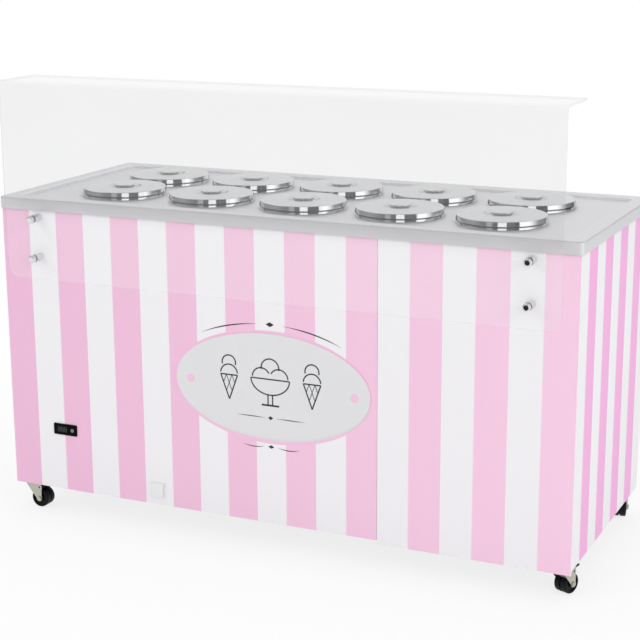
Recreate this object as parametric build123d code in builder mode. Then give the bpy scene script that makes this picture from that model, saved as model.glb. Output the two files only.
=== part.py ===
from build123d import *

import os
from math import cos, radians, sin

# Gelato display cabinet: a striped counter on casters, with two rows of lidded pots
# under a steel worktop and a clear guard standing off its front.
#
# Sizes are in millimetres. +X runs to the right along the front, -Y points at the
# customer and +Z points up. The origin is on the floor, in the middle of the footprint.

# Pots and lids
columns = 5
rows = 2
pot_radius = 100.0
pot_depth = 200.0
pot_wall = 2.0
pot_base_round = 10.0
collar_overlap = 6.5
collar_height = 7.0
collar_taper = 1.7
lid_overhang = 9.0
lid_band = 11.0
lid_taper = 2.7
lid_shadow_gap = 1.5
lid_crown = 2.0
lid_wall = 2.0
lid_edge_round = 1.5
dish_radius = 44.0
dish_slope = 5.0
dish_depth = 6.0
knob_radius = 28.0
knob_flare = 5.5
knob_height = 10.5
knob_round = 2.0
lid_spacing_x = 38.5
lid_spacing_y = 14.0
end_margin = 138.0
row_margin = 85.0

# Cabinet shell
front_height = 740.0
panel_thickness = 6.0
stripe_count = 19
main_panel_stripes = 13
seam_gap = 1.0
service_panel_drop = 9.0
pan_wall = 2.0
pan_flange = 25.0
post_size = 30.0
post_wall = 2.0

# Worktop
skirt_height = 30.0
rim_rise = 8.0
rim_width = 38.0
rim_outer_round = 4.0
rim_inner_round = 3.0
rim_inner_corner = 14.0
worktop_sheet = 2.0
worktop_overhang = 5.0
pot_clearance = 2.0

# Cold well
tank_margin = 15.0
tank_floor_gap = 20.0
tank_sheet = 1.5
tank_flange = 18.0
evaporator_thickness = 8.0
insulation_thickness = 40.0
pipe_radius = 5.0
pipe_wall = 1.0
pipe_spread = 30.0
passage_gap = 1.0

# Sneeze guard and its stand-offs
guard_inset = 32.0
guard_below = 170.0
guard_above = 328.0
guard_thickness = 6.0
guard_shelf = 156.0
guard_bend = 8.0
guard_corner = 28.0
shelf_corner = 6.0
standoff_inset_x = 110.0
standoff_drop = 18.0
standoff_spacing = 101.0
standoff_length = 28.0
standoff_radius = 10.0
cap_height = 8.0
cap_round = 4.0
stud_radius = 4.0
stud_length = 22.0
stud_clearance = 0.2

# Sign plaque
plaque_width = 528.0
plaque_height = 265.0
plaque_thickness = 2.0
plaque_above_bottom = 353.0

# Thermostat
thermostat_from_left = 162.0
thermostat_above_bottom = 165.0
bezel_width = 70.0
bezel_height = 30.0
bezel_thickness = 3.0
bezel_corner = 3.0
bezel_edge = 0.8
case_width = 64.0
case_height = 25.0
case_depth = 45.0
case_clearance = 0.3
display_width = 40.0
display_height = 18.0
display_thickness = 1.2
display_offset = -9.0
display_clearance = 0.1
button_radius = 5.0
button_offset = 22.0
button_rise = 1.0
button_stem = 3.0
button_travel = 0.8

# Drain
drain_from_left = 435.5
drain_above_bottom = 40.0
drain_inset = 90.0
drain_pipe_radius = 11.0
drain_pipe_wall = 2.0
drain_bend = 40.0
escutcheon_width = 46.0
escutcheon_height = 42.0
escutcheon_thickness = 1.6
escutcheon_corner = 3.0
flap_width = 33.0
flap_length = 34.0
flap_thickness = 4.4
flap_hinge_drop = 5.0
flap_pin_radius = 1.2
flap_ear = 4.0
flap_ear_radius = 2.6

# Condensing unit
unit_from_right = 340.0
fan_radius = 95.0
fan_margin = 25.0
fan_hub_radius = 20.0
fan_hub_length = 24.0
fan_blades = 5
fan_chord = 42.0
fan_blade_thickness = 2.0
fan_pitch = 30.0
fan_tip_gap = 6.0
fan_gap = 8.0
shroud_thickness = 2.0
motor_radius = 32.0
motor_length = 55.0
motor_gap = 5.0
motor_shaft_radius = 4.0
motor_foot_width = 50.0
motor_foot_thickness = 5.0
condenser_depth = 60.0
condenser_frame = 14.0
condenser_fins = 18
condenser_fin_thickness = 3.0
condenser_to_rear = 10.0
compressor_setback = 40.0
compressor_radius = 75.0
compressor_height = 170.0
compressor_dome = 40.0
compressor_foot_height = 12.0
compressor_foot_radius = 11.0
compressor_base_length = 200.0
compressor_base_width = 140.0
compressor_base_thickness = 4.0
compressor_boss_radius = 9.0
compressor_boss_rise = 8.0

# Rear fittings
grille_frame = 12.0
grille_thickness = 2.0
grille_slots = 14
grille_bar = 8.0
inlet_from_right = 160.0
inlet_above_bottom = 70.0
inlet_flange_width = 50.0
inlet_flange_height = 30.0
inlet_flange_thickness = 2.5
inlet_body_width = 29.0
inlet_body_height = 21.0
inlet_body_depth = 24.0
inlet_wall = 2.0
inlet_clearance = 0.4
screw_head_radius = 4.5
screw_head_height = 2.0
screw_radius = 2.0
screw_clearance = 0.2
screw_inset = 40.0
screw_columns = 4

# Casters
caster_height = 75.0
caster_inset_x = 33.0
caster_inset_y = 44.0
caster_trail = 18.0
caster_plate_size = 50.0
caster_plate_corner = 4.0
caster_plate_thickness = 3.0
race_radius = 18.0
race_height = 5.0
kingpin_radius = 6.0
kingpin_head_radius = 9.0
kingpin_head_height = 2.0
crown_thickness = 4.0
crown_lead = 20.0
fork_plate = 2.5
fork_gap = 1.5
fork_boss = 8.0
fork_web_height = 16.0
axle_radius = 4.0
axle_head_radius = 6.0
axle_head_height = 2.5
wheel_radius = 25.0
wheel_width = 34.0
wheel_hub_radius = 9.0
wheel_rim = 6.0
wheel_dish = 2.5
wheel_edge_round = 3.0
wheel_groove_width = 3.0
wheel_groove_depth = 4.0
wheel_groove_round = 1.0
pedal_beyond_axle = 2.0
pedal_below_crown = 6.2
pedal_pin_radius = 2.5
pedal_knuckle_radius = 4.0
pedal_length = 30.0
pedal_width = 26.0
pedal_thickness = 3.5
pedal_rise = 12.0
shoe_length = 6.3
shoe_width = 3.0
shoe_lean = 25.0

# Clearances between pieces that move on each other
shaft_clearance = 0.05
running_gap = 0.3

# Overall sizes that follow from the pots
lid_radius = pot_radius + lid_overhang
collar_radius = pot_radius + collar_overlap
pitch_x = 2 * lid_radius + lid_spacing_x
pitch_y = 2 * lid_radius + lid_spacing_y
cabinet_width = (columns - 1) * pitch_x + 2 * lid_radius + 2 * end_margin
cabinet_depth = (rows - 1) * pitch_y + 2 * lid_radius + 2 * row_margin
inner_width = cabinet_width - 2 * panel_thickness
inner_depth = cabinet_depth - 2 * panel_thickness

# Depths: the guard's caps reach furthest forward, the worktop's overhang furthest back
front_reach = standoff_length + guard_thickness + cap_height
cabinet_y = (front_reach - worktop_overhang) / 2
front_y = cabinet_y - cabinet_depth / 2
rear_y = cabinet_y + cabinet_depth / 2
left_x = -cabinet_width / 2
right_x = cabinet_width / 2

# Heights
panel_bottom = caster_height
pan_floor = panel_bottom + pan_wall
skirt_bottom = panel_bottom + front_height
rim_top = skirt_bottom + skirt_height
worktop_surface = rim_top - rim_rise
worktop_under = worktop_surface - worktop_sheet
panel_top = rim_top - worktop_sheet
lid_seat = worktop_surface + collar_height
tank_floor = worktop_surface - pot_depth - tank_floor_gap
tank_under = tank_floor - tank_sheet
evaporator_under = tank_under - evaporator_thickness
insulation_under = evaporator_under - insulation_thickness

# Places on the front
stripe_width = cabinet_width / stripe_count
seam_x = left_x + main_panel_stripes * stripe_width
thermostat_x = left_x + thermostat_from_left
thermostat_z = panel_bottom + thermostat_above_bottom
drain_x = left_x + drain_from_left
drain_z = panel_bottom + drain_above_bottom
drain_y = front_y + drain_inset
standoff_x = cabinet_width / 2 - standoff_inset_x
standoff_top = skirt_bottom - standoff_drop
standoff_bottom = standoff_top - standoff_spacing
guard_back_y = front_y - standoff_length
guard_front_y = guard_back_y - guard_thickness

# Places of the condensing unit, from the rear panel forwards
unit_x = right_x - unit_from_right
condenser_size = 2 * (fan_radius + fan_margin)
condenser_back_y = rear_y - panel_thickness - condenser_to_rear
condenser_front_y = condenser_back_y - condenser_depth
shroud_front_y = condenser_front_y - shroud_thickness
fan_y = shroud_front_y - fan_gap - fan_hub_length / 2
fan_z = pan_floor + condenser_size / 2
motor_back_y = fan_y - fan_hub_length / 2 - motor_gap
compressor_y = cabinet_y + compressor_setback
compressor_base = pan_floor + compressor_foot_height
compressor_shell = compressor_base + compressor_base_thickness
pipe_end = compressor_shell + compressor_height + compressor_boss_rise

# Casters: the plates stand at the corners, and each fork rests turned to its own side
caster_x = cabinet_width / 2 - caster_inset_x
caster_y = cabinet_depth / 2 - caster_inset_y
caster_places = {
    "front_left": (-caster_x, cabinet_y - caster_y, 0),
    "front_right": (caster_x, cabinet_y - caster_y, 68),
    "rear_left": (-caster_x, cabinet_y + caster_y, 120),
    "rear_right": (caster_x, cabinet_y + caster_y, 100),
}
braked_casters = ("front_left", "front_right")
race_top = caster_height - caster_plate_thickness
crown_top = race_top - race_height - running_gap
crown_bottom = crown_top - crown_thickness
kingpin_head_top = crown_bottom - running_gap
fork_half = wheel_width / 2 + fork_gap
crown_rear = caster_trail + fork_boss
pedal_u = caster_trail + pedal_beyond_axle
pedal_z = crown_bottom - pedal_below_crown


def level(z):
    """Horizontal plane at height z, over the middle of the cabinet."""
    return Plane(origin=(0, cabinet_y, z))


def facing_front(y):
    """Upright plane at depth y, seen from the front: local x is +X and local y is +Z."""
    return Plane(origin=(0, y, 0), x_dir=(1, 0, 0), z_dir=(0, -1, 0))


def facing_right(x):
    """Upright plane at x, seen from the right: local x is +Y and local y is +Z."""
    return Plane(origin=(x, 0, 0), x_dir=(0, 1, 0), z_dir=(1, 0, 0))


def save(piece, name):
    """Label a finished piece and write it."""
    piece.part.label = name
    export_step(piece.part, f"parts/{name}.step")


os.makedirs("parts", exist_ok=True)

# Base pan: a folded tray that carries the posts and the condensing unit
with BuildPart() as base_pan:
    with BuildSketch(level(panel_bottom)):
        Rectangle(inner_width, inner_depth)
    extrude(amount=pan_flange)
    with BuildSketch(level(pan_floor)):
        Rectangle(inner_width - 2 * pan_wall, inner_depth - 2 * pan_wall)
    extrude(amount=pan_flange, mode=Mode.SUBTRACT)
save(base_pan, "base_pan")

# Corner posts: square tubes from the pan up to the worktop
post_span_x = inner_width - 2 * pan_wall - post_size
post_span_y = inner_depth - 2 * pan_wall - post_size
with BuildPart() as corner_posts:
    with BuildSketch(level(pan_floor)):
        with GridLocations(post_span_x, post_span_y, 2, 2):
            Rectangle(post_size, post_size)
            Rectangle(post_size - 2 * post_wall, post_size - 2 * post_wall, mode=Mode.SUBTRACT)
    extrude(amount=worktop_under - pan_floor)
save(corner_posts, "corner_posts")

# Front panel, with the thermostat's opening and the drain's hole
main_panel_width = seam_x - seam_gap / 2 - left_x
with BuildPart() as front_panel:
    with BuildSketch(facing_front(front_y)):
        with Locations((left_x + main_panel_width / 2, (panel_bottom + panel_top) / 2)):
            Rectangle(main_panel_width, panel_top - panel_bottom)
        with Locations((thermostat_x, thermostat_z)):
            Rectangle(case_width + 2 * case_clearance, case_height + 2 * case_clearance, mode=Mode.SUBTRACT)
        with Locations((drain_x, drain_z)):
            Circle(drain_pipe_radius + passage_gap, mode=Mode.SUBTRACT)
    extrude(amount=-panel_thickness)
save(front_panel, "front_panel")

# Service panel: the right end of the front, hung a little lower
service_panel_width = right_x - seam_x - seam_gap / 2
service_panel_bottom = panel_bottom - service_panel_drop
with BuildPart() as front_service_panel:
    with BuildSketch(facing_front(front_y)):
        with Locations((right_x - service_panel_width / 2, (service_panel_bottom + panel_top) / 2)):
            Rectangle(service_panel_width, panel_top - service_panel_bottom)
    extrude(amount=-panel_thickness)
save(front_service_panel, "front_service_panel")

# Side panels: from behind the front panels to the rear corner
side_length = cabinet_depth - panel_thickness
side_middle = front_y + panel_thickness + side_length / 2
for side_name, side_x in (("left_side_panel", left_x), ("right_side_panel", right_x - panel_thickness)):
    with BuildPart() as side_panel:
        with BuildSketch(facing_right(side_x)):
            with Locations((side_middle, (panel_bottom + panel_top) / 2)):
                Rectangle(side_length, panel_top - panel_bottom)
        extrude(amount=panel_thickness)
    save(side_panel, side_name)

# Rear panel, with openings for the grille, the power inlet and the screws
inlet_x = right_x - inlet_from_right
inlet_z = panel_bottom + inlet_above_bottom
screw_span_x = inner_width - 2 * screw_inset
screw_bottom = panel_bottom + pan_flange / 2
screw_top = skirt_bottom - screw_inset
screw_middle = (screw_bottom + screw_top) / 2
screw_pitch = screw_span_x / (screw_columns - 1)
screw_rise = screw_top - screw_bottom
with BuildPart() as rear_panel:
    with BuildSketch(facing_front(rear_y)):
        with Locations((0, (panel_bottom + panel_top) / 2)):
            Rectangle(inner_width, panel_top - panel_bottom)
        with Locations((unit_x, fan_z)):
            Rectangle(2 * fan_radius, 2 * fan_radius, mode=Mode.SUBTRACT)
        with Locations((inlet_x, inlet_z)):
            Rectangle(
                inlet_body_width + 2 * inlet_clearance,
                inlet_body_height + 2 * inlet_clearance,
                mode=Mode.SUBTRACT,
            )
        with Locations((0, screw_middle)):
            with GridLocations(screw_pitch, screw_rise, screw_columns, 2):
                Circle(screw_radius + screw_clearance, mode=Mode.SUBTRACT)
    extrude(amount=panel_thickness)
save(rear_panel, "rear_panel")

# Rear screws: pan heads on the rear panel
with BuildPart() as rear_screws:
    with BuildSketch(facing_front(rear_y)):
        with Locations((0, screw_middle)):
            with GridLocations(screw_pitch, screw_rise, screw_columns, 2):
                Circle(screw_head_radius)
    extrude(amount=-screw_head_height)
    fillet(rear_screws.edges().group_by(Axis.Y)[-1], screw_head_height / 2)
    with BuildSketch(facing_front(rear_y)):
        with Locations((0, screw_middle)):
            with GridLocations(screw_pitch, screw_rise, screw_columns, 2):
                Circle(screw_radius)
    extrude(amount=panel_thickness)
save(rear_screws, "rear_screws")

# Rear grille: a slotted plate over the condenser's opening
grille_size = 2 * (fan_radius + grille_frame)
grille_open = 2 * (fan_radius - grille_frame)
grille_pitch = grille_open / grille_slots
with BuildPart() as rear_grille:
    with BuildSketch(facing_front(rear_y)):
        with Locations((unit_x, fan_z)):
            Rectangle(grille_size, grille_size)
            with GridLocations(grille_open, grille_pitch, 1, grille_slots):
                SlotOverall(grille_open, grille_pitch - grille_bar / 2, mode=Mode.SUBTRACT)
    extrude(amount=-grille_thickness)
save(rear_grille, "rear_grille")

# Power inlet: a recessed socket in the rear panel
with BuildPart() as power_inlet:
    with BuildSketch(facing_front(rear_y)):
        with Locations((inlet_x, inlet_z)):
            RectangleRounded(inlet_flange_width, inlet_flange_height, inlet_wall)
    extrude(amount=-inlet_flange_thickness)
    with BuildSketch(facing_front(rear_y)):
        with Locations((inlet_x, inlet_z)):
            Rectangle(inlet_body_width, inlet_body_height)
    extrude(amount=inlet_body_depth)
    with BuildSketch(facing_front(rear_y + inlet_flange_thickness)):
        with Locations((inlet_x, inlet_z)):
            Rectangle(inlet_body_width - 2 * inlet_wall, inlet_body_height - 2 * inlet_wall)
    extrude(amount=inlet_flange_thickness + inlet_body_depth - inlet_wall, mode=Mode.SUBTRACT)
save(power_inlet, "power_inlet")

# Worktop: one folded sheet with a skirt, a hollow raised rim and a round opening for each pot
worktop_width = cabinet_width + 2 * worktop_overhang
worktop_depth = cabinet_depth + 2 * worktop_overhang
worktop_corner = 2 * worktop_overhang
hollow_width = worktop_width - 2 * worktop_sheet
hollow_depth = worktop_depth - 2 * worktop_sheet
surface_width = worktop_width - 2 * rim_width
surface_depth = worktop_depth - 2 * rim_width
with BuildPart() as worktop:
    with BuildSketch(level(skirt_bottom)):
        RectangleRounded(worktop_width, worktop_depth, worktop_corner)
    extrude(amount=skirt_height)
    with BuildSketch(level(worktop_surface)):
        RectangleRounded(surface_width, surface_depth, rim_inner_corner)
    extrude(amount=rim_rise, mode=Mode.SUBTRACT)
    fillet(worktop.faces().sort_by(Axis.Z)[-1].outer_wire().edges(), rim_outer_round)
    fillet(worktop.faces().sort_by(Axis.Z)[-1].inner_wires()[0].edges(), rim_inner_round)
    with BuildSketch(level(skirt_bottom)):
        RectangleRounded(hollow_width, hollow_depth, worktop_corner - worktop_sheet)
    extrude(amount=worktop_under - skirt_bottom, mode=Mode.SUBTRACT)
    with BuildSketch(level(worktop_under)):
        RectangleRounded(hollow_width, hollow_depth, worktop_corner - worktop_sheet)
        RectangleRounded(
            surface_width + 2 * worktop_sheet,
            surface_depth + 2 * worktop_sheet,
            rim_inner_corner + worktop_sheet,
            mode=Mode.SUBTRACT,
        )
    extrude(amount=panel_top - worktop_under, mode=Mode.SUBTRACT)
    with BuildSketch(level(worktop_under)):
        with GridLocations(pitch_x, pitch_y, columns, rows):
            Circle(pot_radius + pot_clearance)
    extrude(amount=worktop_sheet, mode=Mode.SUBTRACT)
save(worktop, "worktop")

# Tank: the tub under the worktop that the pots hang in, drained at its floor
tank_length = (columns - 1) * pitch_x + 2 * (pot_radius + tank_margin)
tank_width = (rows - 1) * pitch_y + 2 * (pot_radius + tank_margin)
tank_outer_length = tank_length + 2 * tank_sheet
tank_outer_width = tank_width + 2 * tank_sheet
with BuildPart() as tank:
    with BuildSketch(level(tank_under)):
        Rectangle(tank_outer_length, tank_outer_width)
    extrude(amount=worktop_under - tank_under)
    with BuildSketch(level(worktop_under)):
        Rectangle(tank_outer_length + 2 * tank_flange, tank_outer_width + 2 * tank_flange)
    extrude(amount=-tank_sheet)
    with BuildSketch(level(tank_floor)):
        Rectangle(tank_length, tank_width)
    extrude(amount=worktop_under - tank_floor, mode=Mode.SUBTRACT)
    with BuildSketch(Plane(origin=(drain_x, drain_y, tank_under))):
        Circle(drain_pipe_radius - drain_pipe_wall)
    extrude(amount=tank_sheet, mode=Mode.SUBTRACT)
save(tank, "tank")

# Evaporator: a plate under the tank, with two pipes down to the compressor
pipe_places = [(unit_x - pipe_spread, compressor_y), (unit_x + pipe_spread, compressor_y)]
with BuildPart() as evaporator:
    with BuildSketch(level(evaporator_under)):
        Rectangle(tank_outer_length, tank_outer_width)
    extrude(amount=evaporator_thickness)
    with BuildSketch(Plane.XY.offset(evaporator_under)):
        with Locations((drain_x, drain_y)):
            Circle(drain_pipe_radius + passage_gap)
    extrude(amount=evaporator_thickness, mode=Mode.SUBTRACT)
    with BuildSketch(Plane.XY.offset(pipe_end)):
        with Locations(*pipe_places):
            Circle(pipe_radius)
            Circle(pipe_radius - pipe_wall, mode=Mode.SUBTRACT)
    extrude(amount=evaporator_under - pipe_end)
save(evaporator, "evaporator")

# Insulation: foam round the tank and under the evaporator
with BuildPart() as insulation:
    with BuildSketch(level(insulation_under)):
        Rectangle(tank_outer_length + 2 * insulation_thickness, tank_outer_width + 2 * insulation_thickness)
    extrude(amount=worktop_under - tank_sheet - insulation_under)
    with BuildSketch(level(evaporator_under)):
        Rectangle(tank_outer_length, tank_outer_width)
    extrude(amount=worktop_under - tank_sheet - evaporator_under, mode=Mode.SUBTRACT)
    with BuildSketch(Plane.XY.offset(insulation_under)):
        with Locations((drain_x, drain_y)):
            Circle(drain_pipe_radius + passage_gap)
        with Locations(*pipe_places):
            Circle(pipe_radius + passage_gap)
    extrude(amount=insulation_thickness, mode=Mode.SUBTRACT)
save(insulation, "insulation")

# Compressor: a domed shell on a footed plate, with a boss for each pipe
with BuildPart() as compressor:
    with BuildSketch(Plane(origin=(unit_x, compressor_y, compressor_shell))):
        Circle(compressor_radius)
    extrude(amount=compressor_height)
    fillet(compressor.edges().sort_by(Axis.Z)[-1], compressor_dome)
    with BuildSketch(Plane(origin=(unit_x, compressor_y, compressor_base))):
        Rectangle(compressor_base_length, compressor_base_width)
    extrude(amount=compressor_base_thickness)
    with BuildSketch(Plane(origin=(unit_x, compressor_y, pan_floor))):
        with GridLocations(
            compressor_base_length - 2 * compressor_foot_radius,
            compressor_base_width - 2 * compressor_foot_radius,
            2,
            2,
        ):
            Circle(compressor_foot_radius)
    extrude(amount=compressor_foot_height)
    with BuildSketch(Plane.XY.offset(compressor_shell)):
        with Locations(*pipe_places):
            Circle(compressor_boss_radius)
    extrude(amount=pipe_end - compressor_shell)
save(compressor, "compressor")

# Condenser: a framed stack of fins in front of the rear grille
fin_area = condenser_size - 2 * condenser_frame
fin_pitch = fin_area / condenser_fins
with BuildPart() as condenser:
    with BuildSketch(facing_front(condenser_back_y)):
        with Locations((unit_x, fan_z)):
            Rectangle(condenser_size, condenser_size)
            with GridLocations(fin_pitch, fin_area, condenser_fins, 1):
                Rectangle(fin_pitch - condenser_fin_thickness, fin_area, mode=Mode.SUBTRACT)
    extrude(amount=condenser_depth)
save(condenser, "condenser")

# Fan shroud: a plate on the condenser with the fan's round opening
with BuildPart() as fan_shroud:
    with BuildSketch(facing_front(condenser_front_y)):
        with Locations((unit_x, fan_z)):
            Rectangle(condenser_size, condenser_size)
            Circle(fan_radius + fan_tip_gap, mode=Mode.SUBTRACT)
    extrude(amount=shroud_thickness)
save(fan_shroud, "fan_shroud")

# Fan motor: its foot stands on the pan, and its shaft carries the fan
with BuildPart() as fan_motor:
    with BuildSketch(facing_front(motor_back_y)):
        with Locations((unit_x, fan_z)):
            Circle(motor_radius)
    extrude(amount=motor_length)
    with BuildSketch(facing_front(motor_back_y - motor_length / 2)):
        with Locations((unit_x, (pan_floor + fan_z) / 2)):
            Rectangle(motor_foot_width, fan_z - pan_floor)
    extrude(amount=motor_foot_thickness)
    with BuildSketch(facing_front(motor_back_y)):
        with Locations((unit_x, fan_z)):
            Circle(motor_shaft_radius)
    extrude(amount=-(motor_gap + fan_hub_length))
save(fan_motor, "fan_motor")

# Fan blade: pitched blades on a bored hub
blade_length = fan_radius - fan_hub_radius / 2
with BuildPart(Plane(origin=(unit_x, fan_y, fan_z), x_dir=(1, 0, 0), z_dir=(0, -1, 0))) as fan_blade:
    Cylinder(fan_hub_radius, fan_hub_length)
    with PolarLocations(fan_radius - blade_length / 2, fan_blades):
        Box(blade_length, fan_chord, fan_blade_thickness, rotation=(fan_pitch, 0, 0))
    Cylinder(motor_shaft_radius + shaft_clearance, fan_hub_length + fan_chord, mode=Mode.SUBTRACT)
save(fan_blade, "fan_blade")

# Drain pipe: down from the tank's floor, then forwards to the front panel
with BuildPart() as drain_pipe:
    with BuildLine():
        FilletPolyline(
            (drain_x, drain_y, tank_under),
            (drain_x, drain_y, drain_z),
            (drain_x, front_y, drain_z),
            radius=drain_bend,
        )
    with BuildSketch(Plane(origin=(drain_x, drain_y, tank_under), z_dir=(0, 0, -1))):
        Circle(drain_pipe_radius)
        Circle(drain_pipe_radius - drain_pipe_wall, mode=Mode.SUBTRACT)
    sweep()
save(drain_pipe, "drain_pipe")

# Drain escutcheon: a plate on the front with two ears for the flap's pin
escutcheon_front_y = front_y - escutcheon_thickness
hinge_y = escutcheon_front_y - running_gap - flap_thickness / 2
hinge_z = drain_z + escutcheon_height / 2 - flap_hinge_drop
ear_inner = flap_width / 2 + running_gap
with BuildPart() as drain_escutcheon:
    with BuildSketch(facing_front(front_y)):
        with Locations((drain_x, drain_z)):
            RectangleRounded(escutcheon_width, escutcheon_height, escutcheon_corner)
            Circle(drain_pipe_radius - drain_pipe_wall, mode=Mode.SUBTRACT)
    extrude(amount=escutcheon_thickness)
    with BuildSketch(facing_right(drain_x - ear_inner - flap_ear), facing_right(drain_x + ear_inner)):
        with Locations((hinge_y, hinge_z)):
            Circle(flap_ear_radius)
        with Locations(((hinge_y + escutcheon_front_y) / 2, hinge_z)):
            Rectangle(escutcheon_front_y - hinge_y, 2 * flap_ear_radius)
        with Locations((hinge_y, hinge_z)):
            Circle(flap_pin_radius + shaft_clearance, mode=Mode.SUBTRACT)
    extrude(amount=flap_ear)
save(drain_escutcheon, "drain_escutcheon")

# Drain flap: hangs from its pin in front of the drain
with BuildPart() as drain_flap:
    with BuildSketch(facing_right(drain_x)):
        with Locations((hinge_y, hinge_z)):
            Circle(flap_thickness / 2)
        with Locations((hinge_y, hinge_z - flap_length / 2)):
            Rectangle(flap_thickness, flap_length)
    extrude(amount=flap_width / 2, both=True)
    with BuildSketch(facing_right(drain_x)):
        with Locations((hinge_y, hinge_z)):
            Circle(flap_pin_radius)
    extrude(amount=ear_inner + flap_ear, both=True)
save(drain_flap, "drain_flap")

# Thermostat case: a bezel on the front and a body through the panel
bezel_front_y = front_y - bezel_thickness
display_x = thermostat_x + display_offset
button_x = thermostat_x + button_offset
with BuildPart() as thermostat_case:
    with BuildSketch(facing_front(front_y)):
        with Locations((thermostat_x, thermostat_z)):
            RectangleRounded(bezel_width, bezel_height, bezel_corner)
    extrude(amount=bezel_thickness)
    fillet(thermostat_case.faces().sort_by(Axis.Y)[0].edges(), bezel_edge)
    with BuildSketch(facing_front(front_y)):
        with Locations((thermostat_x, thermostat_z)):
            Rectangle(case_width, case_height)
    extrude(amount=-case_depth)
    with BuildSketch(facing_front(bezel_front_y)):
        with Locations((display_x, thermostat_z)):
            Rectangle(display_width + 2 * display_clearance, display_height + 2 * display_clearance)
    extrude(amount=-display_thickness, mode=Mode.SUBTRACT)
    with BuildSketch(facing_front(bezel_front_y)):
        with Locations((button_x, thermostat_z)):
            Circle(button_radius + shaft_clearance)
    extrude(amount=-(button_stem + button_travel + running_gap), mode=Mode.SUBTRACT)
save(thermostat_case, "thermostat_case")

# Thermostat display: a window let into the bezel
with BuildPart() as thermostat_display:
    with BuildSketch(facing_front(bezel_front_y)):
        with Locations((display_x, thermostat_z)):
            Rectangle(display_width, display_height)
    extrude(amount=-display_thickness)
save(thermostat_display, "thermostat_display")

# Thermostat button: a round push button beside the display
with BuildPart() as thermostat_button:
    with BuildSketch(facing_front(bezel_front_y + button_stem)):
        with Locations((button_x, thermostat_z)):
            Circle(button_radius)
    extrude(amount=button_stem + button_rise)
    fillet(thermostat_button.edges().sort_by(Axis.Y)[0], button_rise / 2)
save(thermostat_button, "thermostat_button")

# Sign plaque: a plain oval plate on the front panel
with BuildPart() as sign_plaque:
    with BuildSketch(facing_front(front_y)):
        with Locations((0, panel_bottom + plaque_above_bottom)):
            Ellipse(plaque_width / 2, plaque_height / 2)
    extrude(amount=plaque_thickness)
save(sign_plaque, "sign_plaque")

# Sneeze guard: one clear sheet, bent back at the top into a shelf
guard_width = cabinet_width - 2 * guard_inset
guard_bottom = skirt_bottom - guard_below
guard_top = skirt_bottom + guard_above
shelf_under = guard_top - guard_thickness
shelf_rear_y = guard_front_y + guard_shelf
standoff_places = [
    (side * standoff_x, height) for side in (-1, 1) for height in (standoff_top, standoff_bottom)
]
with BuildPart() as sneeze_guard:
    with BuildSketch(facing_right(0)) as guard_section:
        with BuildLine():
            Polyline(
                (guard_front_y, guard_bottom),
                (guard_back_y, guard_bottom),
                (guard_back_y, shelf_under),
                (shelf_rear_y, shelf_under),
                (shelf_rear_y, guard_top),
                (guard_front_y, guard_top),
                close=True,
            )
        make_face()
        inner_corner = guard_section.vertices().sort_by_distance((guard_back_y, shelf_under))[0]
        fillet(inner_corner, guard_bend)
        outer_corner = guard_section.vertices().sort_by_distance((guard_front_y, guard_top))[0]
        fillet(outer_corner, guard_bend + guard_thickness)
    extrude(amount=guard_width / 2, both=True)
    fillet(sneeze_guard.edges().filter_by(Axis.Y).group_by(Axis.Z)[0], guard_corner)
    fillet(sneeze_guard.edges().filter_by(Axis.Z).group_by(Axis.Y)[-1], shelf_corner)
    with BuildSketch(facing_front(guard_back_y)):
        with Locations(*standoff_places):
            Circle(stud_radius + stud_clearance)
    extrude(amount=guard_thickness, mode=Mode.SUBTRACT)
save(sneeze_guard, "sneeze_guard")

# Stand-off barrels: between the front panels and the guard
with BuildPart() as standoff_barrels:
    with BuildSketch(facing_front(front_y)):
        with Locations(*standoff_places):
            Circle(standoff_radius)
    extrude(amount=standoff_length)
    with BuildSketch(facing_front(guard_back_y)):
        with Locations(*standoff_places):
            Circle(stud_radius + stud_clearance)
    extrude(amount=-(stud_length - guard_thickness), mode=Mode.SUBTRACT)
save(standoff_barrels, "standoff_barrels")

# Stand-off caps: round heads in front of the guard, with a stud into each barrel
with BuildPart() as standoff_caps:
    with BuildSketch(facing_front(guard_front_y)):
        with Locations(*standoff_places):
            Circle(standoff_radius)
    extrude(amount=cap_height)
    fillet(standoff_caps.edges().group_by(Axis.Y)[0], cap_round)
    with BuildSketch(facing_front(guard_front_y)):
        with Locations(*standoff_places):
            Circle(stud_radius)
    extrude(amount=-stud_length)
save(standoff_caps, "standoff_caps")


def make_pot(x, y):
    """A straight pot that hangs by its collar on the worktop at (x, y)."""
    bore = pot_radius - pot_wall
    with BuildPart() as pot:
        with BuildSketch(Plane(origin=(x, y, worktop_surface), x_dir=(1, 0, 0), z_dir=(0, -1, 0))) as half:
            with BuildLine():
                Polyline(
                    (collar_radius - collar_taper, collar_height),
                    (bore, collar_height),
                    (bore, pot_wall - pot_depth),
                    (0, pot_wall - pot_depth),
                    (0, -pot_depth),
                    (pot_radius, -pot_depth),
                    (pot_radius, 0),
                    (collar_radius, 0),
                    close=True,
                )
            make_face()
            fillet(half.vertices().sort_by_distance((bore, pot_wall - pot_depth))[0], pot_base_round)
            fillet(half.vertices().sort_by_distance((pot_radius, -pot_depth))[0], pot_base_round + pot_wall)
        revolve(axis=Axis((x, y, 0), (0, 0, 1)))
    return pot


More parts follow.
